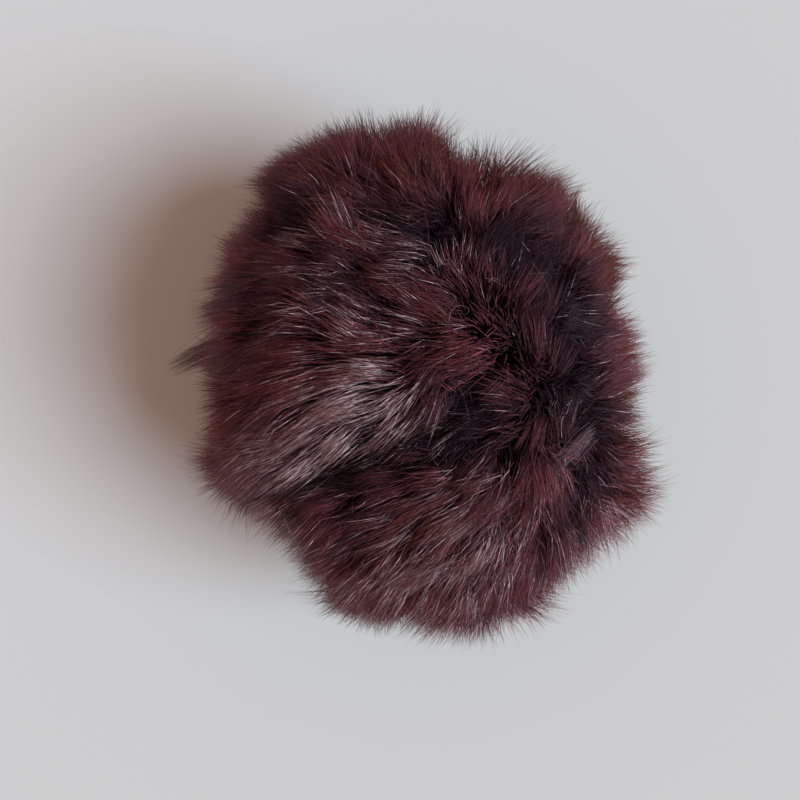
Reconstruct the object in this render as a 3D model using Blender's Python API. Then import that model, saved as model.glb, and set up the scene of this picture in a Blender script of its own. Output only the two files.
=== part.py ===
"""A long-pile faux-fur pom pom, lying on a flat surface.

The real one is a disc of fur fabric drawn up round a soft filling and tied underneath, so that only
fur shows. Here the ground is the packed mass of the pile, a lumpy ball with a small flat spot below,
and every face of it grows one tapered lock. The locks are combed away from a whorl high on the
right, lie over the ball, hang down its sides, and spread out level where they meet the surface.

Metres, +Z up. +X is to the right and +Y to the far side, as the ball is seen from above.
The origin is on the surface, under the middle of the whole pom pom.
"""

import math
import random

import bmesh
import bpy
from mathutils import Quaternion, Vector

# Driving sizes
TOP_REACH = 0.050  # ball centre to the tips of the fur, straight up
CENTRE_HEIGHT = 0.0385  # ball centre above the surface
GROUND_SHARE = 0.79  # radius of the packed ground over the radius at the tips
ROUNDNESS = 2.15  # 2 is an ellipsoid in side view, more is fuller at the shoulders

# Reach of the fur, seen from above: azimuth in degrees from +X, and millimetres from ball centre to tips
OUTLINE = (
    (0, 43.5),
    (15, 44.5),
    (30, 47.0),
    (45, 49.0),
    (60, 49.0),
    (75, 47.5),
    (90, 52.5),
    (105, 55.5),
    (120, 55.0),
    (135, 52.5),
    (150, 52.0),
    (165, 48.0),
    (180, 48.5),
    (195, 49.5),
    (210, 51.0),
    (225, 47.0),
    (240, 48.0),
    (255, 52.0),
    (270, 52.0),
    (285, 54.0),
    (300, 52.5),
    (315, 50.5),
    (330, 53.0),
    (345, 45.5),
)

# Swellings and dips of the pile: azimuth, elevation and spread in degrees, height in millimetres
LUMPS = (
    (117, 25, 28, 2.5),  # lobe on the far left
    (151, 20, 12, -3.0),  # groove beside it
    (80, 42, 14, -3.0),  # parting behind the top
    (39, 35, 22, 2.0),  # right shoulder
    (17, 50, 13, -3.5),  # dip at the whorl
    (215, 55, 20, 2.5),  # ridge in front of the top
    (274, 62, 12, -2.5),  # hollow below the ridge
    (235, 22, 14, -2.0),  # flat lower left side
    (328, 15, 20, 2.5),  # lobe on the near right
    (271, 20, 22, 1.5),  # lobe on the near side
)

# The whorl that the fur is combed away from: azimuth and elevation in degrees
WHORL = (17, 50)
WHORL_FADE = 22  # degrees from the whorl over which the fur comes to lie down

# Locks
BALL_DETAIL = 3  # subdivisions of the ball of faces that the locks grow from
LOCK_RUN = 0.0155  # how far a tip lies along the ball from its root
LOCK_LEVELS = (  # share of the run, share of the rise, size over the face that the lock grows from
    (0.00, 0.00, 0.90),
    (0.16, 0.30, 0.74),
    (0.45, 0.62, 0.48),
    (0.76, 0.86, 0.24),
)
LENGTH_SPREAD = 0.14  # random part of a lock's length, either way
TURN_SPREAD = 9  # degrees, random part of a lock's direction, either way
ROOT_JITTER = 0.0016  # random shift of the corners between roots

# Stray tufts that stand out of the outline: azimuth, elevation, extra reach in millimetres
TUFT_SPREAD = 9  # degrees round it
TUFTS = (
    (177, 8, 7.0),
    (203, -6, 3.5),
    (92, 12, 3.0),
    (345, 2, 3.0),
)

# Underside
TURN_OUT_FROM = -8  # elevation in degrees below which the fur starts to turn outwards
TURN_OUT_FULL = -52  # and where it points wholly outwards
TURN_OUT_LIE = 0.6  # how far it lies over there, against 1 on top
BARE_BELOW = -62  # elevation in degrees below which the pile is pressed to a bare surface
FLAT_BELOW = -70  # and where that is flat
FLAT_RADIUS = 0.0145
FLOOR_SOFT = 0.0022  # height below which the pile is pressed down

FUR_COLOUR = (0.062, 0.019, 0.021, 1.0)
SEED = 12

MM = 0.001


def direction(azimuth, elevation):
    """Unit vector from the ball's centre."""
    a, e = math.radians(azimuth), math.radians(elevation)
    return Vector((math.cos(a) * math.cos(e), math.sin(a) * math.cos(e), math.sin(e)))


def elevation_of(way):
    """Degrees above the level of the ball's centre."""
    return math.degrees(math.asin(max(-1.0, min(1.0, way.normalized().z))))


def smooth(x, low, high):
    """0 below low, 1 above high, and an even curve between them."""
    t = min(1.0, max(0.0, (x - low) / (high - low)))
    return t * t * (3 - 2 * t)


def outline_reach(azimuth):
    """Reach of the tips seen from above, read from the table with a smooth curve between its rows."""
    step = 360 / len(OUTLINE)
    row = (azimuth % 360) / step
    i = int(row)
    t = row - i
    a, b, c, d = (OUTLINE[(i + k) % len(OUTLINE)][1] for k in (-1, 0, 1, 2))
    curve = b + 0.5 * t * (c - a + t * (2 * a - 5 * b + 4 * c - d + t * (3 * (b - c) + d - a)))
    return curve * MM


def tip_radius(way):
    """Ball centre to the tips of the fur in a direction."""
    level = math.hypot(way.x, way.y)
    side = outline_reach(math.degrees(math.atan2(way.y, way.x)))
    power = (level / side) ** ROUNDNESS + (abs(way.z) / TOP_REACH) ** ROUNDNESS
    return power ** (-1 / ROUNDNESS)


def lump_height(way):
    """What the swellings and dips add to the radius."""
    total = 0.0
    for azimuth, elevation, spread, height in LUMPS:
        angle = math.degrees(way.angle(direction(azimuth, elevation)))
        total += height * MM * math.exp(-((angle / spread) ** 2))
    return total


def ground_radius(way):
    return GROUND_SHARE * tip_radius(way) + lump_height(way)


def comb(way):
    """Which way the fur lies there: a vector along the ball, shorter where the fur stands up."""
    whorl = direction(*WHORL)
    away = way * way.dot(whorl) - whorl
    lie = smooth(math.degrees(way.angle(whorl)), 0, WHORL_FADE)
    away = away.normalized() * lie if away.length > 1e-6 else Vector()
    out = Vector((way.x, way.y, 0))
    if out.length > 1e-6:
        out.normalize()
    out -= way * out.dot(way)
    turn = smooth(-elevation_of(way), -TURN_OUT_FROM, -TURN_OUT_FULL)
    return away * (1 - turn) + out * turn * TURN_OUT_LIE


def at(way, lift):
    """The point at a height over the ground. Near the surface it is pressed level, never through it."""
    way = way.normalized()
    point = way * (ground_radius(way) + lift) + Vector((0, 0, CENTRE_HEIGHT))
    if point.z < FLOOR_SOFT:
        point.z = FLOOR_SOFT * math.exp((point.z - FLOOR_SOFT) / FLOOR_SOFT)
    return point


def tuft_reach(way):
    """Extra reach of the locks that make up a stray tuft."""
    near = (reach for a, e, reach in TUFTS if way.angle(direction(a, e)) < math.radians(TUFT_SPREAD))
    return sum(near) * MM


def ground_ball(chance):
    """A ball of near-equal three-cornered faces, of unit radius, with its corners shifted at random."""
    ball = bmesh.new()
    bmesh.ops.create_icosphere(ball, subdivisions=BALL_DETAIL, radius=1.0)
    for corner in ball.verts:
        if elevation_of(corner.co) > BARE_BELOW:
            shift = Vector(chance.uniform(-1, 1) for _ in "xyz") * ROOT_JITTER / TOP_REACH
            corner.co = (corner.co + shift).normalized()
    return ball


def place(face, points):
    for corner, point in zip(face.verts, points):
        corner.co = point


def grow_lock(ball, face, chance):
    """Turns a face into a lock: its root, the levels of a bent and tapering body, and its tip."""
    corners = [v.co.copy() for v in face.verts]
    middle = sum(corners, Vector()).normalized()
    length = 1 + chance.uniform(-LENGTH_SPREAD, LENGTH_SPREAD)
    run = comb(middle) * (LOCK_RUN * length / tip_radius(middle))
    run.rotate(Quaternion(middle, math.radians(chance.uniform(-TURN_SPREAD, TURN_SPREAD))))
    rise = (1 - GROUND_SHARE) * tip_radius(middle) * length
    extra = tuft_reach(middle)

    for along, height, size in LOCK_LEVELS:
        if height:
            face = bmesh.ops.extrude_discrete_faces(ball, faces=[face])["faces"][0]
        else:
            bmesh.ops.inset_individual(ball, faces=[face], thickness=0)
        heart = middle + run * along
        lift = rise * height + extra * height**3
        place(face, [at(heart + (corner - middle) * size, lift) for corner in corners])
    bmesh.ops.pointmerge(ball, verts=list(face.verts), merge_co=at(middle + run, rise + extra))


def ground_point(way):
    """Where a corner between the roots lies: on the ground, or on the flat spot below."""
    if elevation_of(way) > FLAT_BELOW:
        return at(way, 0)
    out = Vector((way.x, way.y, 0))
    return out.normalized() * FLAT_RADIUS if out.length > 1e-3 else Vector()


def fur_material():
    material = bpy.data.materials.new("dark_red_brown_fur")
    material.use_nodes = True
    shader = material.node_tree.nodes["Principled BSDF"]
    shader.inputs["Base Color"].default_value = FUR_COLOUR
    shader.inputs["Roughness"].default_value = 0.55
    shader.inputs["Metallic"].default_value = 0.0
    return material


def build_pom_pom():
    chance = random.Random(SEED)
    ball = ground_ball(chance)
    between_roots = list(ball.verts)
    flat = [f for f in ball.faces if all(elevation_of(v.co) < FLAT_BELOW for v in f.verts)]
    roots = [f for f in ball.faces if elevation_of(f.calc_center_median()) > BARE_BELOW]
    for face in roots:
        grow_lock(ball, face, chance)
    for corner in between_roots:
        corner.co = ground_point(corner.co)
    bmesh.ops.dissolve_faces(ball, faces=flat, use_verts=True)

    low = Vector(min(v.co[i] for v in ball.verts) for i in range(3))
    high = Vector(max(v.co[i] for v in ball.verts) for i in range(3))
    middle = (low + high) / 2
    bmesh.ops.translate(ball, verts=ball.verts, vec=(-middle.x, -middle.y, -low.z))
    bmesh.ops.recalc_face_normals(ball, faces=ball.faces)

    mesh = bpy.data.meshes.new("fur_ball")
    ball.to_mesh(mesh)
    ball.free()
    mesh.materials.append(fur_material())
    pom_pom = bpy.data.objects.new("fur_ball", mesh)
    bpy.context.scene.collection.objects.link(pom_pom)
    print(f"{len(roots)} locks; the ball's centre is {-middle.x:.5f}, {-middle.y:.5f}")


for old in list(bpy.data.objects):
    bpy.data.objects.remove(old)
build_pom_pom()
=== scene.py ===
# A pom pom of long-pile faux fur, dark red-brown, lying on a pale surface and seen from straight above.
# Metres, +Z up. +X is to the right of the view and +Y to its far side.
# The fur is combed on a skin that isn't kept, and a node tree grows the strands from it in six coats.

import math
import random

import bmesh
import bpy
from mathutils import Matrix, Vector, noise


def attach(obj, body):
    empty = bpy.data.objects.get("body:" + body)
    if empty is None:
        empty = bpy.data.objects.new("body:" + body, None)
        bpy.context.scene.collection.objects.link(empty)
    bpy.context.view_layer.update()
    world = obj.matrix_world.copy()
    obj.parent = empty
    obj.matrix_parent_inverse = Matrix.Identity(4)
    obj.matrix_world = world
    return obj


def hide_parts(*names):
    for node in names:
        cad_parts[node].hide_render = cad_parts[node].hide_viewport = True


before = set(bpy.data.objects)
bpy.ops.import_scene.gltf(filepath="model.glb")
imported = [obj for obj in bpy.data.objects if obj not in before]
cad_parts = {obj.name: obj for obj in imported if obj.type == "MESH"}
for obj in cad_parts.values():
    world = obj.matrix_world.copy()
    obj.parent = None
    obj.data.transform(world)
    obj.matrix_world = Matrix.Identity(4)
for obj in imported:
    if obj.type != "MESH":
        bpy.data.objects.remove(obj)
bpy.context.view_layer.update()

mm = 0.001
fullTurn = 360.0


# The ball of fur. Azimuth is in degrees from +X, elevation in degrees above the level of its centre.
ball = {
    "node": "fur_ball",
    "centre": Vector((0.00315, -0.00271, 0.0385)),
    "topReach": 50.0,  # millimetres from the centre to the tips of the fur, straight up
    "roundness": 2.15,  # 2 is an ellipsoid in side view, more is fuller at the shoulders
    # millimetres from the centre to the tips as seen from above, at even steps of azimuth
    "outline": (
        44.2, 43.4, 45.6, 46.3, 47.8, 43.2, 49.4, 52.6, 54.4, 49.8, 51.6, 44.6,
        46.4, 46.7, 50.4, 46.0, 47.8, 54.0, 51.5, 56.2, 53.6, 50.9, 51.8, 43.8,
    ),
    "pileDepth": 15.0,  # millimetres from the roots up to the tips
    "floorSoft": 2.2,  # height below which the fur is pressed level
    "detail": 6,  # how often the faces of the skin are divided
}

# Swellings and dips of the fur: azimuth, elevation, spread in degrees, height in millimetres
lumps = (
    (117, 25, 28, 2.5),  # lobe on the far left
    (151, 20, 12, -3.0),  # groove beside it
    (39, 35, 22, 2.0),  # right shoulder
    (235, 22, 14, -2.0),  # flat lower left side
    (322, 15, 20, 2.0),  # lobe on the near right
    (271, 20, 22, 1.5),  # lobe on the near side
)

# Long features, by the places they run through. Height is in millimetres. The rest are shares: how much
# more the fur lifts, lies over, turns red or dark (the dark is painted shade in hollows and partings),
# holds pale strands (painted sheen and glints), takes pale strands of painted light at the rim, is
# ruffled, crowds or is thick there.
trails = (
    {  # the ragged parting from the far side round to the near right, darkened with painted shade
        "path": ((88, 51), (70, 55), (48, 57), (26, 58), (8, 57), (350, 53), (335, 49), (324, 40)),
        "spread": 8, "height": -1.0, "lie": -0.3, "tone": -0.26, "ruffle": 0.5, "crowd": 0.6, "fine": -0.2,
    },
    {
        "path": ((48, 55), (26, 56), (8, 55), (350, 51), (335, 47), (324, 38)),
        "spread": 13, "height": -2.0, "lift": -0.12, "lie": -0.25, "tone": -0.1, "ruffle": 0.4,
    },
    {  # right slope, where the fur stands up
        "path": ((60, 42), (28, 44), (5, 42), (345, 38), (330, 30)),
        "spread": 11, "lie": -0.6,
    },
    {  # ridge in front of the top, where the fur shines: its pale strands are painted sheen
        "path": ((207, 40), (204, 52), (202, 61), (199, 72)),
        "spread": 5.5, "height": 2.0, "lie": 0.4, "tone": 0.08, "pale": 0.45,
    },
    {"path": ((208, 64), (212, 76)), "spread": 5, "height": 1.0, "tone": 0.1, "pale": 0.5},
    {"path": ((215, 48), (216, 56)), "spread": 4, "height": 1.0, "tone": 0.1, "pale": 0.3},
    {
        "path": ((211, 32), (213, 53), (215, 68)),
        "spread": 4, "height": 1.5, "tone": 0.08, "pale": 0.35,
    },
    # painted glints on the left of the top
    {"path": ((167, 58), (174, 64), (190, 62)), "spread": 7, "pale": 0.18},
    {  # hollow below the ridge, darkened with painted shade
        "path": ((218, 38), (221, 50), (227, 64), (240, 72), (270, 77), (310, 78)),
        "spread": 7, "height": -5.5, "lie": 0.3, "tone": -0.7, "pale": 0.1,
    },
    {
        "path": ((238, 47), (241, 57), (253, 68), (276, 74)),
        "spread": 5, "height": -2.5, "tone": -0.24,
    },
    {"path": ((219, 44), (224, 52)), "spread": 6, "height": -1.5, "tone": -0.3},
    {"path": ((315, 67), (330, 68), (345, 65)), "spread": 8, "crowd": 0.5},
    {  # right side, where the fur parts to the left and the right
        "path": ((358, 20), (5, 30)),
        "spread": 11, "lie": -0.3, "crowd": 0.4,
    },
    {"path": ((80, 20), (80, 30)), "spread": 9, "crowd": 0.5},
    {  # dip from the parting to the hollow, darkened with painted shade
        "path": ((11, 64), (358, 67), (343, 71), (334, 74)),
        "spread": 4, "height": -0.5, "tone": -0.2,
    },
    {  # swell on the near side, its pale strands painted sheen
        "path": ((255, 34), (261, 46), (273, 53), (284, 56)),
        "spread": 8, "height": 1.5, "tone": 0.08, "pale": 0.34,
    },
    {"path": ((268, 35), (275, 40), (284, 46)), "spread": 9, "height": 1.0, "tone": 0.05, "pale": 0.42},
    {  # red lock across the near right
        "path": ((291, 62), (318, 60), (336, 54)),
        "spread": 6, "height": 1.0, "tone": 0.16,
    },
    {"path": ((30, 84), (22, 75)), "spread": 5, "height": 1.0, "tone": 0.12},
    {"path": ((213, 83), (308, 87), (5, 80)), "spread": 5, "height": 1.0, "tone": 0.14},
    {  # hollow between the far left lobe and the top, darkened with painted shade
        "path": ((137, 31), (130, 36), (119, 44), (108, 49), (98, 52), (84, 52)),
        "spread": 5.5, "height": -6.5, "tone": -0.40,
    },
    {"path": ((151, 36), (157, 40), (163, 44)), "spread": 5, "height": -3.5, "tone": -0.25},
    {"path": ((93, 51), (87, 48), (80, 50)), "spread": 5, "height": -2.0, "tone": -0.16},
    {  # painted glints on the far left slope
        "path": ((133, 45), (121, 44), (112, 52), (105, 65)),
        "spread": 8, "height": 1.0, "tone": 0.06, "pale": 0.22,
    },
    {"path": ((153, 57), (160, 66), (145, 73), (129, 80)), "spread": 7, "pale": 0.16},
    # dips darkened with painted shade
    {"path": ((103, 63), (82, 62), (62, 59)), "spread": 6, "height": -1.5, "tone": -0.18},
    {"path": ((128, 70), (114, 75)), "spread": 6, "height": -1.0, "tone": -0.14},
    {  # groove beside the near right corner, darkened with painted shade
        "path": ((345, 52), (337, 49), (329, 44), (323, 37)),
        "spread": 5, "height": -4.0, "tone": -0.30,
    },
    {  # pale lock across it, painted sheen
        "path": ((320, 54), (326, 52), (334, 50)),
        "spread": 3, "height": 2.0, "tone": 0.10, "pale": 0.45,
    },
    {  # near rim, where light comes through the fur: its pale strands are painted light
        "path": ((222, 20), (240, 13), (262, 8), (298, 8), (318, 12)),
        "spread": 13, "crowd": -0.3, "paintedRimLight": 0.30,
    },
)

# Patches of colour, many of them painted light or shade: azimuth, elevation, spread, shift of the tone
patches = (
    (35, 62, 12, -0.12),  # painted shade behind the whorl
    (10, 8, 20, 0.36),  # rust-brown at the right rim: painted light coming through the fibres, and darker there as painted shade
    (45, 12, 20, 0.36),
    (70, 18, 14, 0.26),
    (337, 8, 17, 0.32),
    (0, 48, 17, -0.32),  # painted shade round the whorl and in the parting below it
    (35, 52, 14, -0.20),
    (342, 25, 10, -0.25),
    (300, 8, 20, 0.12),  # lighter and redder at the near rim: painted light coming through the fibres
    (265, 8, 24, 0.12),
    (95, 15, 16, 0.16),  # and on the far side
    (130, 12, 18, 0.14),
    (325, 58, 12, 0.08),  # redder on the near right slope
    (188, 25, 24, 0.12),  # lighter on the shaded left: painted light
    (110, 45, 20, 0.06),
)

# The tone picks the colour: dark up to about 0.3, red round 0.55, rust from 0.66 and pale from 0.88, where
# the pale strands are painted sheen and glints
tones = {
    "middle": 0.46,
    "broadGrain": (11.0, 0.16),  # size in millimetres, and how far it shifts the tone
    "fineGrain": (4.5, 0.10),
    "broadShift": Vector((1.7, 8.2, 5.5)),  # where the noise of the broad grain is read
    "paintedGlintShare": 0.012,  # share of pale strands, painted glints, where no trail adds any
}


def direction(azimuth, elevation):
    a = math.radians(azimuth)
    e = math.radians(elevation)
    return Vector((math.cos(a) * math.cos(e), math.sin(a) * math.cos(e), math.sin(e)))


def elevationOf(way):
    return math.degrees(math.asin(max(-1.0, min(1.0, way.z))))


def smooth(x, low, high):
    t = min(1.0, max(0.0, (x - low) / (high - low)))
    return t * t * (3 - 2 * t)


def degreesBetween(way, place):
    return math.degrees(math.acos(max(-1.0, min(1.0, way.dot(place)))))


def placed(rows):
    return [(direction(azimuth, elevation), *rest) for azimuth, elevation, *rest in rows]


def nearness(way, place, spread):
    return math.exp(-((degreesBetween(way, place) / spread) ** 2))


def shiftAt(way, rows):
    return sum(size * nearness(way, place, spread) for place, spread, size in rows)


def trailNearness(way, trail):
    best = 180.0
    path = [direction(*place) for place in trail["path"]]
    for start, end in zip(path, path[1:]):
        leg = end - start
        share = max(0.0, min(1.0, (way - start).dot(leg) / leg.length_squared))
        best = min(best, degreesBetween(way, (start + leg * share).normalized()))
    return math.exp(-((best / trail["spread"]) ** 2))


def trailsAt(way):
    near = [(trail, trailNearness(way, trail)) for trail in trails]
    return {key: sum(trail.get(key, 0.0) * share for trail, share in near)
            for key in ("height", "lift", "lie", "tone", "pale", "paintedRimLight", "ruffle", "crowd", "fine")}


def smoothCurve(a, b, c, d, t):  # from b to c, with a before them and d after
    return b + 0.5 * t * (c - a + t * (2 * a - 5 * b + 4 * c - d + t * (3 * (b - c) + d - a)))


def outlineReach(azimuth):
    rows = ball["outline"]
    row = (azimuth % fullTurn) / (fullTurn / len(rows))
    i = int(row)
    t = row - i
    return smoothCurve(*(rows[(i + k) % len(rows)] for k in (-1, 0, 1, 2)), t)


def tipRadius(way):
    level = math.hypot(way.x, way.y)
    side = outlineReach(math.degrees(math.atan2(way.y, way.x)))
    power = (level / side) ** ball["roundness"] + (abs(way.z) / ball["topReach"]) ** ball["roundness"]
    return power ** (-1 / ball["roundness"]) + shiftAt(way, placedLumps)


placedLumps = placed(lumps)
placedPatches = placed(patches)

# How the fur is combed
comb = {
    "source": (15, 58),  # place that it runs away from, where no stroke says otherwise
    "sourceWeight": 0.02,  # against 1 for a stroke
    "strokeSpread": 10.0,  # degrees
    "leastShare": 1e-4,  # of a stroke that is worth adding
    "leastLevel": 0.2,  # how level the ball is taken to be where its side is steeper than that
    "run": 8.5,  # millimetres a strand lies along the ball
    "standing": 0.7,  # how far the part that stands up turns its heading outwards, as seen from above
    "headedAt": 0.4,  # share of the run at which it takes its heading
    "seenAt": 0.85,  # and at which it shows
    "turnOutFrom": -8,  # elevation below which the fur starts to turn outwards
    "turnOutFull": -52,
    "turnOutLie": 0.6,
    "rimFrom": 38,  # elevation below which it stands out more, as at the rim seen from above
    "rimFull": 8,
    "rimSideways": 0.35,  # share of its sideways lie that is left there
    "rimDown": 0.55,  # and of its downward lie
    "rimFine": 0.62,  # width of the strands there, over the width on top
    "rimLoose": 0.15,  # how far they are drawn together there, over that on top
    "thinBelow": (15, 60),  # degrees under the level of the centre, from which and to which it thins out
    "thinned": 0.8,
    "waveSize": 10.0,  # millimetres from lock to lock
    "waveTurn": 0.22,
    "waveLift": 0.16,
    "waveCalm": 0.5,  # how much less it lifts at the rim
    "waveShift": Vector((9.1, 4.7, 2.3)),  # where the noise of the lift is read
    "waveSeed": 4,
    "pushCore": 8,  # how quickly a push sets in round its place
    "tuftWidth": 1.3,  # how much wider a tuft draws strands in than it reaches out
}
noise.seed_set(comb["waveSeed"])  # without it the waves would differ from run to run
tiny = 1e-6

# Which way it runs as seen from above: azimuth and elevation of a place, and the heading there
strokes = (
    # the far side
    (100, 40, 135), (90, 35, 105), (130, 45, 150), (115, 55, 150), (70, 40, 60), (55, 35, 45),
    # behind the top
    (85, 65, 180), (70, 60, 150), (70, 75, 180), (45, 65, 155), (45, 50, 85), (35, 55, 100), (40, 35, 60),
    # the left
    (150, 40, 180), (140, 55, 155), (125, 65, 160), (165, 50, 195), (185, 60, 215),
    # from the top down the near left
    (190, 75, 205), (25, 80, 190), (20, 70, 195), (215, 60, 208), (205, 48, 205), (245, 75, 210),
    (310, 75, 210), (14, 54, 195), (355, 68, 225), (345, 56, 220),
    # the near side
    (220, 40, 212), (240, 40, 226), (260, 50, 220), (315, 60, 205), (330, 52, 215),
    (315, 45, 230), (305, 34, 245), (322, 44, 250), (275, 40, 235), (255, 35, 235), (300, 18, 272),
    # the right
    (328, 26, 318), (340, 28, 335), (350, 20, 352), (0, 35, 5), (25, 35, 40), (10, 28, 12), (25, 20, 23),
)

# Places that the fur is pushed away from: azimuth, elevation, spread, strength
pushes = ((80, 22, 8, 0.45),)

# Tufts that reach further out: azimuth, elevation, spread, extra millimetres, how far they are drawn
# together and how far they are thinned out
tufts = (
    (175, 8, 5, 2.0, 0.6, 0.0),
    (204, -2, 6, 6.0, 0.8, 0.0),
    (93, 12, 5, 4.0, 0.5, 0.0),
    (74, 14, 8, 8.5, 0.0, 0.5),
    (328, 6, 10, 2.5, 0.5, 0.0),
)

placedStrokes = placed(strokes)
placedPushes = placed(pushes)
placedTufts = placed(tufts)


def flat(vector, way):
    return vector - way * vector.dot(way)


def strokeAt(way, heading):
    a = math.radians(heading)
    level = Vector((math.cos(a), math.sin(a), 0)) - Vector((way.x, way.y, 0)) * comb["standing"]
    level.z = -level.dot(way) / max(way.z, comb["leastLevel"])
    return flat(level, way).normalized()


def rimAt(way):
    return 1 - smooth(elevationOf(way), comb["rimFull"], comb["rimFrom"])


def strokesAt(way, found):
    weight = comb["sourceWeight"]
    away = flat(way - direction(*comb["source"]), way)
    away = away.normalized() * weight if away.length > tiny else Vector()
    for place, heading in placedStrokes:
        share = nearness(way, place, comb["strokeSpread"])
        if share > comb["leastShare"]:
            away += strokeAt(way, heading) * share
            weight += share
    away *= max(0.0, 1 + found["lie"]) / weight
    place = way * tipRadius(way)
    return away + flat(noise.noise_vector(place / comb["waveSize"]), way) * comb["waveTurn"]


def settledAt(way, away):
    out = flat(Vector((way.x, way.y, 0)), way)
    if out.length > tiny:
        out.normalize()
    rim = rimAt(way)
    down = out * away.dot(out)
    sideways = away - down
    away = sideways * (1 - rim * (1 - comb["rimSideways"])) + down * (1 - rim * (1 - comb["rimDown"]))
    for place, spread, strength in placedPushes:
        aside = flat(way - place, way)
        if aside.length > tiny:
            share = nearness(way, place, spread)
            away += aside.normalized() * share * strength * min(1.0, aside.length * comb["pushCore"])
    turn = smooth(-elevationOf(way), -comb["turnOutFrom"], -comb["turnOutFull"])
    away = away * (1 - turn) + out * turn * comb["turnOutLie"]
    for place, spread, extra, pull, thinned in placedTufts:
        share = pull * nearness(way, place, spread * comb["tuftWidth"])
        gather = flat(place - way, way) * (tipRadius(way) / comb["run"])
        away = away * (1 - share) + gather * share
    return away


def combAt(way, found, turn):
    ahead = (way + strokesAt(way, found) * turn * comb["headedAt"]).normalized()
    return settledAt(way, flat(strokesAt(ahead, found), way)) * turn


def liftAt(way, found):
    wave = noise.noise(way * tipRadius(way) / comb["waveSize"] + comb["waveShift"])
    wave *= comb["waveLift"] * (1 - comb["waveCalm"] * rimAt(way))
    extra = sum(reach * nearness(way, place, spread) for place, spread, reach, *rest in placedTufts)
    return ball["pileDepth"] * (1 + wave + found["lift"]) + found["height"] + extra


def toneAt(way, found):
    place = way * tipRadius(way)
    broadSize, broad = tones["broadGrain"]
    fineSize, fine = tones["fineGrain"]
    grain = broad * noise.noise(place / broadSize + tones["broadShift"])
    grain += fine * noise.noise(place / fineSize)
    return tones["middle"] + grain + shiftAt(way, placedPatches) + found["tone"]


def crowdAt(way, found):
    kept = (1 - comb["thinned"] * smooth(-elevationOf(way), *comb["thinBelow"])) * (1 + found["crowd"])
    for place, spread, reach, pull, thinned in placedTufts:
        kept *= 1 - thinned * nearness(way, place, spread)
    return kept


def fineAt(way, found):
    return (1 - rimAt(way) * (1 - comb["rimFine"])) * (1 + found["fine"])


# Share of pale strands: painted sheen and glints, and painted light at the rim
def paintedLightAt(way, found):
    return (tones["paintedGlintShare"] + found["pale"]) * (1 - rimAt(way)) + found["paintedRimLight"]


def pressed(z):
    soft = ball["floorSoft"] * mm
    return z if z > soft else soft * math.exp((z - soft) / soft)


def makeSkin(name, detail, sunk=0.0):
    shell = bmesh.new()
    bmesh.ops.create_icosphere(shell, subdivisions=detail, radius=1.0)
    ways = [corner.co.normalized() for corner in shell.verts]
    for corner, way in zip(shell.verts, ways):
        corner.co = ball["centre"] + way * (tipRadius(way) - ball["pileDepth"] - sunk) * mm
        corner.co.z = pressed(corner.co.z)
    mesh = bpy.data.meshes.new(name)
    shell.to_mesh(mesh)
    shell.free()
    skin = bpy.data.objects.new(name, mesh)
    bpy.context.scene.collection.objects.link(skin)
    return skin, ways


def addField(mesh, name, kind, values):
    field = mesh.attributes.new(name, kind, "POINT")
    if kind == "FLOAT":
        field.data.foreach_set("value", values)
    else:
        field.data.foreach_set("vector", [number for value in values for number in value])


def makeRootSkin():
    skin, ways = makeSkin("root_skin", ball["detail"])
    found = [trailsAt(way) for way in ways]
    turns = [comb["run"] * mm / (corner.co - ball["centre"]).length for corner in skin.data.vertices]
    lie = [combAt(*each) for each in zip(ways, found, turns)]
    seenWays = [(way + away * comb["seenAt"]).normalized() for way, away in zip(ways, lie)]
    seen = [(way, trailsAt(way)) for way in seenWays]
    addField(skin.data, "lie", "FLOAT_VECTOR", lie)
    addField(skin.data, "lift", "FLOAT", [liftAt(*each) * mm for each in seen])
    addField(skin.data, "tone", "FLOAT", [toneAt(*each) for each in seen])
    addField(skin.data, "pale", "FLOAT", [paintedLightAt(*each) for each in seen])
    addField(skin.data, "ruffle", "FLOAT", [1 + each["ruffle"] for each in found])
    addField(skin.data, "crowd", "FLOAT", [crowdAt(*each) for each in zip(ways, found)])
    addField(skin.data, "fine", "FLOAT", [fineAt(*each) for each in zip(ways, found)])
    addField(skin.data, "drawn", "FLOAT", [1 - rimAt(way) * (1 - comb["rimLoose"]) for way in ways])
    return skin


# A node's output, so that node maths can be written as plain sums
class Wire:
    def __init__(self, tree, socket):
        self.tree = tree
        self.socket = socket

    def maths(self, operation, *others, swapped=False):
        sides = [self, *others]
        if swapped:
            sides.reverse()
        broad = any(isVector(side) for side in sides)
        kind = "ShaderNodeVectorMath" if broad else "ShaderNodeMath"
        values = {i: wide(side) if broad else side for i, side in enumerate(sides)}
        return addNode(self.tree, kind, {"operation": operation}, values)

    def __add__(self, other):
        return self.maths("ADD", other)

    def __radd__(self, other):
        return self.maths("ADD", other)

    def __sub__(self, other):
        return self.maths("SUBTRACT", other)

    def __rsub__(self, other):
        return self.maths("SUBTRACT", other, swapped=True)

    def __mul__(self, other):
        return self.maths("MULTIPLY", other)

    def __rmul__(self, other):
        return self.maths("MULTIPLY", other)

    def __truediv__(self, other):
        return self.maths("DIVIDE", other)

    def __pow__(self, other):
        return self.maths("POWER", other)

    def unit(self):
        return self.maths("NORMALIZE")

    def cross(self, other):
        return self.maths("CROSS_PRODUCT", other)

    def length(self):
        return addNode(self.tree, "ShaderNodeVectorMath", {"operation": "LENGTH"}, {0: self}, "Value")

    def clamped(self, low, high):
        return self.maths("MAXIMUM", low).maths("MINIMUM", high)

    def part(self, axis):
        return addNode(self.tree, "ShaderNodeSeparateXYZ", {}, {0: self}, axis)


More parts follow.
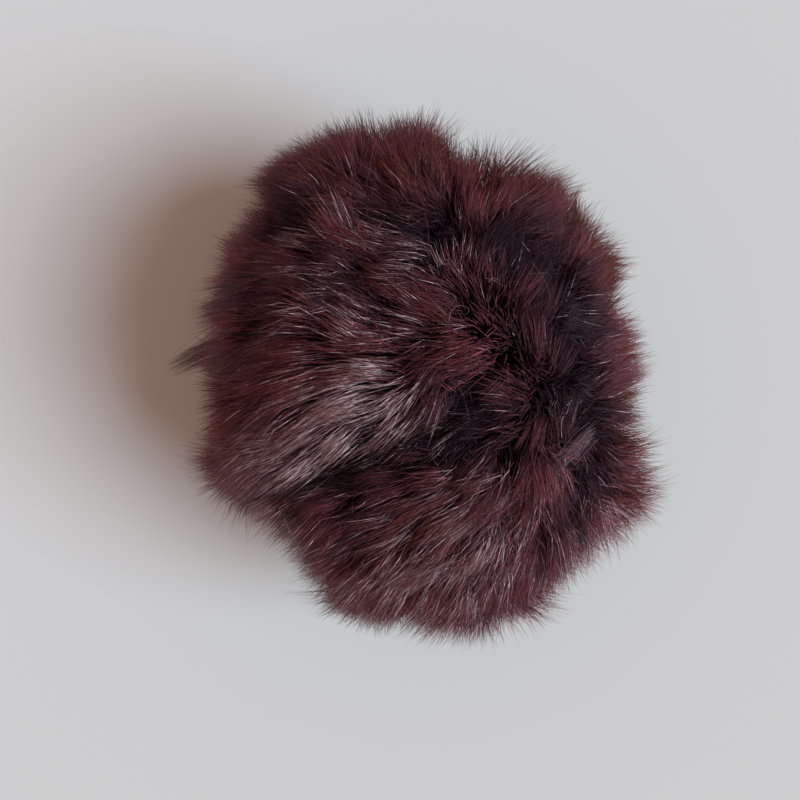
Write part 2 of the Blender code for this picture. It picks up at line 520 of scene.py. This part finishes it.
def isVector(side):
    if isinstance(side, Wire):
        return side.socket.type in {"VECTOR", "RGBA"}
    return isinstance(side, (tuple, Vector))


def wide(side):
    return (side, side, side) if isinstance(side, (int, float)) else side


def addNode(tree, kind, settings, values, output=0):
    node = tree.nodes.new(kind)
    for name, value in settings.items():
        setattr(node, name, value)
    for key, value in values.items():
        if isinstance(value, Wire):
            tree.links.new(value.socket, node.inputs[key])
        else:
            node.inputs[key].default_value = value
    return Wire(tree, node.outputs[output])


def mixedColour(tree, share, a, b):
    return addNode(tree, "ShaderNodeMix", {"data_type": "RGBA"}, {0: share, 6: a, 7: b}, 2)


def joined(tree, x, y, z):
    return addNode(tree, "ShaderNodeCombineXYZ", {}, {"X": x, "Y": y, "Z": z})


def fieldOf(tree, name, kind):
    return addNode(tree, "GeometryNodeInputNamedAttribute", {"data_type": kind}, {"Name": name})


def captured(tree, geometry, fields):
    node = tree.nodes.new("GeometryNodeCaptureAttribute")
    node.domain = "POINT"
    tree.links.new(geometry.socket, node.inputs["Geometry"])
    kept = {}
    for name, field in fields.items():
        node.capture_items.new("VECTOR" if isVector(field) else "FLOAT", name)
        tree.links.new(field.socket, node.inputs[name])
        kept[name] = Wire(tree, node.outputs[name])
    return Wire(tree, node.outputs["Geometry"]), kept


# What the tree that grows a coat of fur is told: name, kind, value. Sizes are in metres.
coatInputs = (
    ("Geometry", "NodeSocketGeometry", None),
    ("Strands per square cm", "NodeSocketFloat", 128.0),
    ("Steps", "NodeSocketInt", 2),
    ("Ring place", "NodeSocketFloat", 0.75),
    ("Seed", "NodeSocketInt", 1),
    ("Width", "NodeSocketFloat", 0.0002),
    ("Length", "NodeSocketFloat", 1.0),
    ("Length spread", "NodeSocketFloat", 0.11),
    ("Lie", "NodeSocketFloat", 1.0),
    ("Lock pull", "NodeSocketFloat", 0.22),
    ("Lock stray", "NodeSocketFloat", 0.09),
    ("Lock lift", "NodeSocketFloat", 0.08),
    ("Lock tone", "NodeSocketFloat", 0.10),
    ("Wisp pull", "NodeSocketFloat", 0.6),
    ("Wisp stray", "NodeSocketFloat", 0.08),
    ("Wisp lift", "NodeSocketFloat", 0.12),
    ("Wisp tone", "NodeSocketFloat", 0.15),
    ("Pale share", "NodeSocketFloat", 1.0),
    ("Stray", "NodeSocketFloat", 0.11),
    ("Bend", "NodeSocketFloat", 0.0008),
    ("Tone shift", "NodeSocketFloat", 0.0),
    ("Tone spread", "NodeSocketFloat", 0.10),
    ("Material", "NodeSocketMaterial", None),
)

# Strands are drawn to two sets of guides, a few for the locks and more for the wisps in them
guides = {"lockGap": 0.006, "lockSeed": 5, "wispGap": 0.0022, "wispSeed": 8, "crowd": 90000.0}

strandShape = {
    "sides": 3,
    "lying": 1.3,  # more than 1 lies over late along it
    "rising": 1.35,  # more than 1 rises early along it
    "leastDrawn": 0.5,  # how far the loosest strands follow their guides, against 1
    "plainTones": (0.02, 0.84),
    "paleTones": (0.88, 0.10),  # least tone of a pale strand, and how far it goes over that
    "palePower": 2,  # more leaves fewer of the palest
    "aheadShare": 1.2,  # how far over its heading is taken to lie, against 1 as it does
    "twist": 0.6,  # how far its sides are turned at random
    "taper": 0.6,
    "mapInset": 0.004,  # half of its width on the colour map
    "seedStep": 31,  # keeps the draws of one coat apart from those of the next
    # what is drawn at random for each strand, each with a seed of its own
    "draws": ("stray", "length", "tone", "drawn", "turn", "bend", "isPale", "howPale"),
}
perSquareMetre = 1e4  # square centimetres
eachWay = ((-1.0, -1.0, -1.0), (1.0, 1.0, 1.0))


def strandPoint(root, lie, lift, along, risen):
    out = root - ball["centre"]
    reach = out.length()
    way = (out / reach + lie * along).unit()
    return way * (reach + lift * risen) + ball["centre"]


def scattered(tree, skin, seed, crowd, gap=None):
    settings = {"distribute_method": "POISSON" if gap else "RANDOM"}
    values = {"Mesh": skin, "Seed": seed}
    if gap:
        values.update({"Distance Min": gap, "Density Max": crowd})
    else:
        values["Density"] = crowd * fieldOf(tree, "crowd", "FLOAT")
    return addNode(tree, "GeometryNodeDistributePointsOnFaces", settings, values)


def nearestGuide(tree, skin, gap, seed, place):
    points = scattered(tree, skin, seed, guides["crowd"], gap)
    nearest = {"Geometry": points, "Sample Position": place}
    index = addNode(tree, "GeometryNodeSampleNearest", {"domain": "POINT"}, nearest)

    def taken(value, kind):
        settings = {"data_type": kind, "domain": "POINT"}
        values = {"Geometry": points, "Value": value, "Index": index}
        return addNode(tree, "GeometryNodeSampleIndex", settings, values)

    ends = {0: eachWay[0], 1: eachWay[1], "ID": index, "Seed": seed}
    return {
        "chance": addNode(tree, "FunctionNodeRandomValue", {"data_type": "FLOAT_VECTOR"}, ends),
        "root": taken(addNode(tree, "GeometryNodeInputPosition", {}, {}), "FLOAT_VECTOR"),
        "lie": taken(fieldOf(tree, "lie", "FLOAT_VECTOR"), "FLOAT_VECTOR"),
        "lift": taken(fieldOf(tree, "lift", "FLOAT"), "FLOAT"),
    }


def growCoatTree():
    tree = bpy.data.node_groups.new("fur_coat", "GeometryNodeTree")
    for name, kind, value in coatInputs:
        socket = tree.interface.new_socket(name, in_out="INPUT", socket_type=kind)
        if value is not None:
            socket.default_value = value
    tree.interface.new_socket("Geometry", in_out="OUTPUT", socket_type="NodeSocketGeometry")
    entry = tree.nodes.new("NodeGroupInput")
    given = {name: Wire(tree, entry.outputs[name]) for name, kind, value in coatInputs}

    def chance(low, high, what):
        kind = "FLOAT_VECTOR" if isinstance(low, tuple) else "FLOAT"
        first = 0 if kind == "FLOAT_VECTOR" else 2
        seed = given["Seed"] * strandShape["seedStep"] + (strandShape["draws"].index(what) + 1)
        values = {first: low, first + 1: high, "Seed": seed}
        output = 0 if kind == "FLOAT_VECTOR" else 1
        return addNode(tree, "FunctionNodeRandomValue", {"data_type": kind}, values, output)

    # Roots, and what each strand knows
    skin = given["Geometry"]
    roots = scattered(tree, skin, given["Seed"], given["Strands per square cm"] * perSquareMetre)
    place = addNode(tree, "GeometryNodeInputPosition", {}, {})
    lock = nearestGuide(tree, skin, guides["lockGap"], guides["lockSeed"], place)
    wisp = nearestGuide(tree, skin, guides["wispGap"], guides["wispSeed"], place)
    ruffle = fieldOf(tree, "ruffle", "FLOAT")
    stray = chance(*eachWay, "stray") * given["Stray"] * ruffle
    turned = (lock["chance"] * given["Lock stray"] + wisp["chance"] * given["Wisp stray"]) * ruffle
    raised = lock["chance"].part("X") * given["Lock lift"] + wisp["chance"].part("X") * given["Wisp lift"]
    raised = 1 + raised * fieldOf(tree, "drawn", "FLOAT")
    length = given["Length"] * (1 + chance(-1.0, 1.0, "length") * given["Length spread"])
    tone = fieldOf(tree, "tone", "FLOAT") + given["Tone shift"]
    tone = tone + chance(-1.0, 1.0, "tone") * given["Tone spread"]
    tone = tone + lock["chance"].part("Y") * given["Lock tone"]
    tone = tone + wisp["chance"].part("Y") * given["Wisp tone"]
    # Pale strands, as many as the skin's pale field says, carry painted sheen and glints
    paleFrom, paleOver = strandShape["paleTones"]
    paleTone = chance(0.0, 1.0, "howPale") ** strandShape["palePower"] * paleOver + paleFrom
    paleShare = fieldOf(tree, "pale", "FLOAT") * given["Pale share"]
    isPale = chance(0.0, 1.0, "isPale").maths("LESS_THAN", paleShare)
    tone = tone.clamped(*strandShape["plainTones"]) * (1 - isPale) + paleTone * isPale
    drawn = chance(strandShape["leastDrawn"], 1.0, "drawn") * fieldOf(tree, "drawn", "FLOAT")
    roots, known = captured(tree, roots, {
        "root": place,
        "lie": (fieldOf(tree, "lie", "FLOAT_VECTOR") * given["Lie"] + stray + turned) * length,
        "lift": fieldOf(tree, "lift", "FLOAT") * length * raised,
        "lockRoot": lock["root"],
        "lockLie": (lock["lie"] * given["Lie"] + turned) * length,
        "lockLift": lock["lift"] * raised * length,
        "wispRoot": wisp["root"],
        "wispLie": (wisp["lie"] * given["Lie"] + turned) * length,
        "wispLift": wisp["lift"] * raised * length,
        "bend": chance(*eachWay, "bend") * given["Bend"] * length,
        "drawn": drawn,
        "width": given["Width"] * fieldOf(tree, "fine", "FLOAT"),
        "tone": tone,
        "turn": chance(*eachWay, "turn"),
    })

    # One closed strand standing on each root
    values = {"Vertices": strandShape["sides"], "Side Segments": given["Steps"]}
    values.update({"Radius Top": 0.0, "Radius Bottom": 1.0, "Depth": 1.0})
    strand = addNode(tree, "GeometryNodeMeshCone", {"fill_type": "NGON"}, values)
    strand, shape = captured(tree, strand, {"local": addNode(tree, "GeometryNodeInputPosition", {}, {})})
    fur = addNode(tree, "GeometryNodeInstanceOnPoints", {}, {"Points": roots, "Instance": strand})
    fur = addNode(tree, "GeometryNodeRealizeInstances", {}, {"Geometry": fur})

    # Its line: out of the skin, then over along the ball, drawn to its lock and its wisp
    local = shape["local"]
    t = local.part("Z") ** given["Ring place"]
    along = t ** strandShape["lying"]
    risen = 1 - (1 - t) ** strandShape["rising"]
    own = strandPoint(known["root"], known["lie"], known["lift"], along, risen)
    lockLine = strandPoint(known["lockRoot"], known["lockLie"], known["lockLift"], along, risen)
    wispLine = strandPoint(known["wispRoot"], known["wispLie"], known["wispLift"], along, risen)
    toLock = t * t * given["Lock pull"] * known["drawn"]
    toWisp = (1 - (1 - t) ** 2) * given["Wisp pull"] * known["drawn"]
    line = own + (lockLine - own) * toLock + (wispLine - own) * toWisp + known["bend"] * t * t

    # Its thickness round that line
    fromCentre = known["root"] - ball["centre"]
    out = fromCentre.unit()
    over = known["lie"] * fromCentre.length() * strandShape["aheadShare"]
    heading = (out * known["lift"] + over).unit()
    sideways = heading.cross(known["lie"].cross(out).unit() + known["turn"] * strandShape["twist"]).unit()
    upward = heading.cross(sideways)
    ring = joined(tree, local.part("X"), local.part("Y"), 0.0).unit()
    thick = known["width"] * 0.5 * (1 - t ** 2 * strandShape["taper"])
    line = line + (sideways * ring.part("X") + upward * ring.part("Y")) * thick

    # Pressed level by the floor
    soft = ball["floorSoft"] * mm
    height = line.part("Z")
    level = ((height - soft) / soft).maths("MINIMUM", 0.0).maths("EXPONENT") * soft
    floored = level + (height - soft).maths("MAXIMUM", 0.0)
    line = joined(tree, line.part("X"), line.part("Y"), floored)
    fur = addNode(tree, "GeometryNodeSetPosition", {}, {"Geometry": fur, "Position": line})

    # Its place on the colour map: along it, and its tone
    inset = strandShape["mapInset"]
    u = t * (1 - 2 * inset) + inset + ring.part("Y") * inset
    v = known["tone"] + ring.part("X") * inset
    settings = {"data_type": "FLOAT2", "domain": "CORNER"}
    values = {"Geometry": fur, "Name": "OFBake", "Value": joined(tree, u, v, 0.0)}
    fur = addNode(tree, "GeometryNodeStoreNamedAttribute", settings, values)
    fur = addNode(tree, "GeometryNodeSetMaterial", {}, {"Geometry": fur, "Material": given["Material"]})
    end = tree.nodes.new("NodeGroupOutput")
    tree.links.new(fur.socket, end.inputs["Geometry"])
    return tree


# Colour and shine of the fur. The tone of a strand picks its colour, and the way along it its painted
# shade, darker towards the roots. Pale strands carry painted sheen and glints.
furLook = {
    "stops": (  # tone, colour
        (0.00, (0.024, 0.017, 0.028)),
        (0.30, (0.105, 0.040, 0.056)),
        (0.50, (0.250, 0.070, 0.092)),
        (0.60, (0.350, 0.100, 0.106)),
        (0.66, (0.170, 0.046, 0.038)),
        (0.85, (0.205, 0.064, 0.052)),
        # pale strands, painted sheen
        (0.88, (0.600, 0.375, 0.410)),
    ),
    # painted shade at the roots, deep in the pile
    "root": (0.026, 0.014, 0.019, 1.0),
    # painted glints
    "glint": (1.0, 0.84, 0.89, 1.0),
    "glintFrom": 0.86,  # tone from which a strand shows painted glints
    "glintFull": 0.98,
    "dashes": (11.0, 70.0),  # painted glints and shade in dashes along a strand, and how fast they change with the tone
    "dashFrom": 0.42,  # of their noise
    "dashOver": 0.2,
    "dashShade": (0.6, 0.8),  # share of the tone in the dark ones, and how much more in the light ones
    "rootShade": 0.13,  # share of the tone that is left at the roots under the painted shade
    "darkUpTo": 0.35,
    "fullFrom": 0.85,
    "roughness": 0.35,
    "dull": (0.62, 0.86, 0.55),  # tones that shine less, from and up to, and how much rougher they are
    "dullEdges": (20, 50),  # how sharply that sets in and ends
    "shine": 0.24,
    "shineTint": (1.0, 0.55, 0.60, 1.0),
}


def newMaterial(name):
    material = bpy.data.materials.new(name)
    material.use_nodes = True
    return material, material.node_tree, material.node_tree.nodes["Principled BSDF"]


def furMaterial():
    material, tree, shader = newMaterial("fur_strands")
    place = addNode(tree, "ShaderNodeUVMap", {"uv_map": "OFBake"}, {})
    u = place.part("X")
    v = place.part("Y")
    ramp = tree.nodes.new("ShaderNodeValToRGB")
    while len(ramp.color_ramp.elements) < len(furLook["stops"]):
        ramp.color_ramp.elements.new(0.5)
    for stop, (at, colour) in zip(ramp.color_ramp.elements, furLook["stops"]):
        stop.position = at
        stop.color = (*colour, 1.0)
    tree.links.new(v.socket, ramp.inputs["Fac"])
    tint = Wire(tree, ramp.outputs["Color"])
    # painted shade, darkest at the roots and lifting towards the tips
    climb = ((u - furLook["darkUpTo"]) / (furLook["fullFrom"] - furLook["darkUpTo"])).clamped(0.0, 1.0)
    share = climb * climb * (3 - 2 * climb) * (1 - furLook["rootShade"]) + furLook["rootShade"]
    # painted glints and shade in dashes along the strand, white on the pale strands
    along, across = furLook["dashes"]
    values = {"Vector": joined(tree, u * along, v * across, 0.0), "Scale": 1.0, "Detail": 1.0}
    dash = addNode(tree, "ShaderNodeTexNoise", {"noise_dimensions": "2D"}, values)
    dash = ((dash - furLook["dashFrom"]) / furLook["dashOver"]).clamped(0.0, 1.0)
    glintOver = furLook["glintFull"] - furLook["glintFrom"]
    glinting = ((v - furLook["glintFrom"]) / glintOver).clamped(0.0, 1.0) * dash
    tint = mixedColour(tree, glinting, tint, furLook["glint"])
    least, more = furLook["dashShade"]
    colour = mixedColour(tree, share * (dash * more + least), furLook["root"], tint)
    tree.links.new(colour.socket, shader.inputs["Base Color"])
    low, high, rougher = furLook["dull"]
    onset, end = furLook["dullEdges"]
    dull = ((v - low) * onset).clamped(0.0, 1.0) * ((high - v) * end).clamped(0.0, 1.0)
    roughness = dull * rougher + furLook["roughness"]
    tree.links.new(roughness.socket, shader.inputs["Roughness"])
    shader.inputs["Specular Tint"].default_value = furLook["shineTint"]
    shader.inputs["Specular IOR Level"].default_value = furLook["shine"]
    return material


# What the skin's points carry and the strands don't keep
rootFields = {"lie", "lift", "tone", "pale", "ruffle", "crowd", "fine", "drawn"}

# What each coat is told that the tree wouldn't give it of itself
coats = {
    "under_fur": {
        "Strands per square cm": 100.0, "Seed": 3, "Width": 0.0004, "Length": 0.78, "Lie": 0.5,
        "Length spread": 0.2, "Lock pull": 0.2, "Wisp pull": 0.4, "Stray": 0.16, "Tone shift": -0.1,
        "Pale share": 0.0,
    },
    "fur_a": {"Seed": 11},
    "fur_b": {"Seed": 12},
    "fur_c": {"Seed": 13},
    "fur_d": {"Seed": 14},
    # the guard hairs carry more of the pale strands of painted glints
    "guard_hair": {
        "Strands per square cm": 45.0, "Steps": 3, "Ring place": 1.0, "Seed": 21, "Length": 1.03,
        "Length spread": 0.12, "Lock pull": 0.25, "Wisp pull": 0.5, "Stray": 0.1, "Tone shift": 0.04,
        "Tone spread": 0.2, "Pale share": 1.6,
    },
}


def finished(piece):
    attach(piece, "root")
    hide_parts(ball["node"])


def growCoat(name, skin, tree, material, sizes):
    grower = bpy.data.objects.new(name + "_roots", skin.data)
    bpy.context.scene.collection.objects.link(grower)
    modifier = grower.modifiers.new("coat", "NODES")
    modifier.node_group = tree
    sockets = {item.name: item.identifier for item in tree.interface.items_tree if item.in_out == "INPUT"}
    for key, value in {**sizes, "Material": material}.items():
        modifier[sockets[key]] = value
    graph = bpy.context.evaluated_depsgraph_get()
    mesh = bpy.data.meshes.new_from_object(grower.evaluated_get(graph), depsgraph=graph)
    mesh.name = name
    bpy.data.objects.remove(grower)
    for extra in [a.name for a in mesh.attributes if a.name in rootFields]:
        mesh.attributes.remove(mesh.attributes[extra])
    mesh.shade_smooth()
    piece = bpy.data.objects.new(name, mesh)
    bpy.context.scene.collection.objects.link(piece)
    triangles = sum(len(face.vertices) - 2 for face in mesh.polygons)
    print(f"{name}: {triangles} triangles")
    finished(piece)
    return triangles


# Loose hairs caught in the fur: millimetres right and towards the far side of the ball's centre,
# and millimetres over the tips
looseHairs = (
    {"name": "curl", "width": 0.10, "shade": "lint", "line": (
        (3.0, 8.1, 0.0), (3.2, 9.7, 1.0), (4.2, 10.7, 1.5), (5.4, 10.8, 1.5), (6.3, 10.2, 1.5),
        (5.9, 9.4, 1.2), (5.0, 9.4, 0.6),
    )},
    {"name": "straight", "width": 0.18, "shade": "faded", "line": (
        (-27.2, -27.0, 1.0), (-26.1, -29.6, 2.2), (-24.8, -32.4, 2.8), (-23.4, -35.2, 2.8),
    )},
    {"name": "short", "width": 0.11, "shade": "lint", "line": (
        (9.0, 15.9, 0.8), (10.9, 15.2, 1.6), (12.4, 14.3, 1.2),
    )},
    {"name": "crossed", "width": 0.10, "shade": "lint", "line": (
        (9.7, 15.0, 0.8), (10.7, 15.7, 1.6), (11.9, 15.1, 1.2),
    )},
    {"name": "bow", "width": 0.09, "shade": "faded", "line": (
        (17.5, 19.1, 0.8), (19.3, 16.6, 1.6), (20.5, 13.8, 1.6), (20.8, 11.8, 0.8),
    )},
    {"name": "speck", "width": 0.12, "shade": "faded", "line": (
        (-29.6, -11.4, 0.4), (-29.8, -12.6, 0.8), (-31.1, -12.9, 0.4),
    )},
)

# Wisps drawn out of the fur, in millimetres from the ball's centre: a pale one across the groove on the
# near right, its paleness painted sheen, and one that hangs out on the left
wisps = {
    "pale_wisp": {
        "places": ((30.5, -11.2, 30.4), (26.6, -14.1, 35.4), (20.8, -18.3, 42.0)),
        "spread": (1.6, 1.5, 3.0),  # how far the hairs lie apart at each place
        "tangle": 0.5,
        "count": 30,
        "width": 0.09,
        "shade": "pale",
        "seed": 4,
    },
    "left_wisp": {
        "places": ((-38.0, 6.5, 9.0), (-46.5, 4.5, 7.0), (-55.0, 1.0, 1.0)),
        "spread": (4.5, 2.8, 1.6),
        "tangle": 0.3,
        "count": 130,
        "width": 0.11,
        "shade": "dark",
        "seed": 6,
    },
}

hairShape = {
    "sides": 3,
    "stepsPerPlace": 5,
    "taper": 0.7,
    "roughness": 0.5,
    "strewn": 0.5,  # how the hairs of a wisp are strewn over its spread
    "shortest": 0.4,  # of the way from its middle place to its last
    "firstHeight": 40.0,  # a first guess, in millimetres over the ball's centre
    "attempts": 12,
}

hairShades = {
    "lint": (0.30, 0.20, 0.19, 1.0),
    "faded": (0.24, 0.11, 0.11, 1.0),
    # painted sheen on the pale wisp
    "pale": (0.32, 0.19, 0.23, 1.0),
    "dark": (0.13, 0.045, 0.045, 1.0),
}


def hairMaterial(shade):
    material, tree, shader = newMaterial("hair_" + shade)
    shader.inputs["Base Color"].default_value = hairShades[shade]
    shader.inputs["Roughness"].default_value = hairShape["roughness"]
    return material


def surfacePoint(x, y, over):
    z = hairShape["firstHeight"]
    for attempt in range(hairShape["attempts"]):  # each comes closer to the height of the tips there
        reach = tipRadius(Vector((x, y, z)).normalized()) + over
        z = math.sqrt(max(0.0, reach ** 2 - x ** 2 - y ** 2))
    return Vector((x, y, z))


def curved(points):
    steps = hairShape["stepsPerPlace"]
    ends = [points[0], *points, points[-1]]
    line = []
    for a, b, c, d in zip(ends, ends[1:], ends[2:], ends[3:]):
        line += [smoothCurve(a, b, c, d, i / steps) for i in range(steps)]
    return [*line, points[-1]]


def addHair(body, line, width):
    sides = hairShape["sides"]
    turns = [math.radians(fullTurn * k / sides) for k in range(sides)]
    rings = []
    for i, point in enumerate(line[1:-1], 1):
        ahead = (line[i + 1] - line[i - 1]).normalized()
        aside = ahead.cross(Vector((0, 0, 1))).normalized()
        up = aside.cross(ahead)
        spokes = [aside * math.cos(turn) + up * math.sin(turn) for turn in turns]
        thick = width * (1 - hairShape["taper"] * i / len(line))
        rings.append([body.verts.new(point + spoke * thick / 2) for spoke in spokes])
    first = body.verts.new(line[0])
    last = body.verts.new(line[-1])
    for k in range(sides):
        j = (k + 1) % sides
        body.faces.new((first, rings[0][j], rings[0][k]))
        body.faces.new((last, rings[-1][k], rings[-1][j]))
        for lower, upper in zip(rings, rings[1:]):
            body.faces.new((lower[k], lower[j], upper[j], upper[k]))


def makeHairs(name, lines, sizes):
    body = bmesh.new()
    for line in lines:
        addHair(body, curved([ball["centre"] + place * mm for place in line]), sizes["width"] * mm)
    bmesh.ops.recalc_face_normals(body, faces=body.faces)
    mesh = bpy.data.meshes.new(name)
    body.to_mesh(mesh)
    body.free()
    mesh.shade_smooth()
    mesh.materials.append(hairMaterial(sizes["shade"]))
    piece = bpy.data.objects.new(name, mesh)
    bpy.context.scene.collection.objects.link(piece)
    finished(piece)


def makeLooseHairs():
    for hair in looseHairs:
        makeHairs("loose_hair_" + hair["name"], [[surfacePoint(*place) for place in hair["line"]]], hair)


def strewn(chance, spread):
    return Vector([chance.gauss(0, spread) for axis in "xyz"])


def makeWisps():
    for name, wisp in wisps.items():
        chance = random.Random(wisp["seed"])
        lines = []
        for hair in range(wisp["count"]):
            side = strewn(chance, hairShape["strewn"])
            line = [Vector(place) + side * spread for place, spread in zip(wisp["places"], wisp["spread"])]
            line = [place + strewn(chance, wisp["tangle"]) for place in line]
            line[2] = line[1].lerp(line[2], chance.uniform(hairShape["shortest"], 1.0))
            lines.append(line)
        makeHairs(name, lines, wisp)


# The ground of the fur, which shows only between the strands
packedPile = {
    "detail": 4,
    "sunk": 0.8,  # millimetres under the roots
    "fill": 0.7,
    "dark": (0.018, 0.009, 0.012, 1.0),
    "light": (0.065, 0.024, 0.029, 1.0),
    "grain": {"Scale": 900.0, "Detail": 4.0},
    "bump": {"Distance": 0.0008, "Strength": 0.8},
    "roughness": 0.8,
}


def packedMaterial():
    material, tree, shader = newMaterial("packed_pile")
    place = addNode(tree, "ShaderNodeTexCoord", {}, {}, "Object")
    grain = addNode(tree, "ShaderNodeTexNoise", {}, {"Vector": place, **packedPile["grain"]})
    colour = mixedColour(tree, grain, packedPile["dark"], packedPile["light"])
    tree.links.new(colour.socket, shader.inputs["Base Color"])
    bump = addNode(tree, "ShaderNodeBump", {}, {"Height": grain, **packedPile["bump"]})
    tree.links.new(bump.socket, shader.inputs["Normal"])
    shader.inputs["Roughness"].default_value = packedPile["roughness"]
    return material


def makePackedPile():
    pile, ways = makeSkin("packed_pile", packedPile["detail"], packedPile["sunk"])
    pile.data.shade_smooth()
    pile.data.materials.append(packedMaterial())
    finished(pile)


def growFur():
    skin = makeRootSkin()
    print("combed the roots")
    tree = growCoatTree()
    material = furMaterial()
    total = sum(growCoat(name, skin, tree, material, sizes) for name, sizes in coats.items())
    bpy.data.objects.remove(skin)
    print(f"fur: {total} triangles")


# Floor, light and camera
studio = {
    "floorSize": 24.0,
    "floorColour": (0.71, 0.71, 0.71),
    "cameraHeight": 0.240,  # over the level of the ball's centre
    "cameraShift": (-0.0054, -0.0052),  # from the ball's centre to the middle of the view
    "viewWidth": 0.172,  # at the level of the ball's centre
    "nearest": 0.01,
    "keyAzimuth": -16.0,
    "keyElevation": 48.0,
    "keySpread": 34.0,
    "keyStrength": 2.85,
    "keyColour": (0.72, 0.91, 1.0),
    "skyColour": (1.0, 0.64, 0.52),
    "skyStrength": 0.40,
    "backdrop": (0.627, 0.618, 0.625),  # what the camera sees past the floor, as bright as the floor
}


def aimed(thing, place, target):
    thing.location = place
    thing.rotation_euler = (Vector(target) - Vector(place)).to_track_quat("-Z", "Y").to_euler()
    bpy.context.scene.collection.objects.link(thing)


def makeStudio():
    half = studio["floorSize"] / 2
    corners = [(-half, -half, 0), (half, -half, 0), (half, half, 0), (-half, half, 0)]
    mesh = bpy.data.meshes.new("floor")
    mesh.from_pydata(corners, [], [(0, 1, 2, 3)])
    material, tree, shader = newMaterial("pale_floor")
    shader.inputs["Base Color"].default_value = (*studio["floorColour"], 1.0)
    shader.inputs["Roughness"].default_value = 1.0
    shader.inputs["Specular IOR Level"].default_value = 0.0
    mesh.materials.append(material)
    floor = bpy.data.objects.new("floor", mesh)
    bpy.context.scene.collection.objects.link(floor)

    lamp = bpy.data.lights.new("key", "SUN")
    lamp.angle = math.radians(studio["keySpread"])
    lamp.energy = studio["keyStrength"]
    lamp.color = studio["keyColour"]
    way = direction(studio["keyAzimuth"], studio["keyElevation"])
    aimed(bpy.data.objects.new("key", lamp), ball["centre"] + way, ball["centre"])

    world = bpy.data.worlds.new("sky")
    world.use_nodes = True
    bpy.context.scene.world = world
    tree = world.node_tree
    sky = tree.nodes["Background"]
    sky.inputs["Color"].default_value = (*studio["skyColour"], 1.0)
    sky.inputs["Strength"].default_value = studio["skyStrength"]
    backdrop = addNode(tree, "ShaderNodeBackground", {}, {"Color": (*studio["backdrop"], 1.0)})
    isSeen = addNode(tree, "ShaderNodeLightPath", {}, {}, "Is Camera Ray")
    values = {0: isSeen, 1: Wire(tree, sky.outputs[0]), 2: backdrop}
    shown = addNode(tree, "ShaderNodeMixShader", {}, values)
    tree.links.new(shown.socket, tree.nodes["World Output"].inputs["Surface"])

    lens = bpy.data.cameras.new("camera")
    lens.lens = lens.sensor_width * studio["cameraHeight"] / studio["viewWidth"]
    lens.clip_start = studio["nearest"]
    camera = bpy.data.objects.new("camera", lens)
    shift = Vector((*studio["cameraShift"], studio["cameraHeight"]))
    camera.location = ball["centre"] + shift
    bpy.context.scene.collection.objects.link(camera)
    bpy.context.scene.camera = camera
    bpy.context.scene.view_settings.view_transform = "Standard"


makeStudio()
print("studio ready")
makePackedPile()
print("packed pile ready")
growFur()
makeLooseHairs()
makeWisps()
print("loose hairs ready")
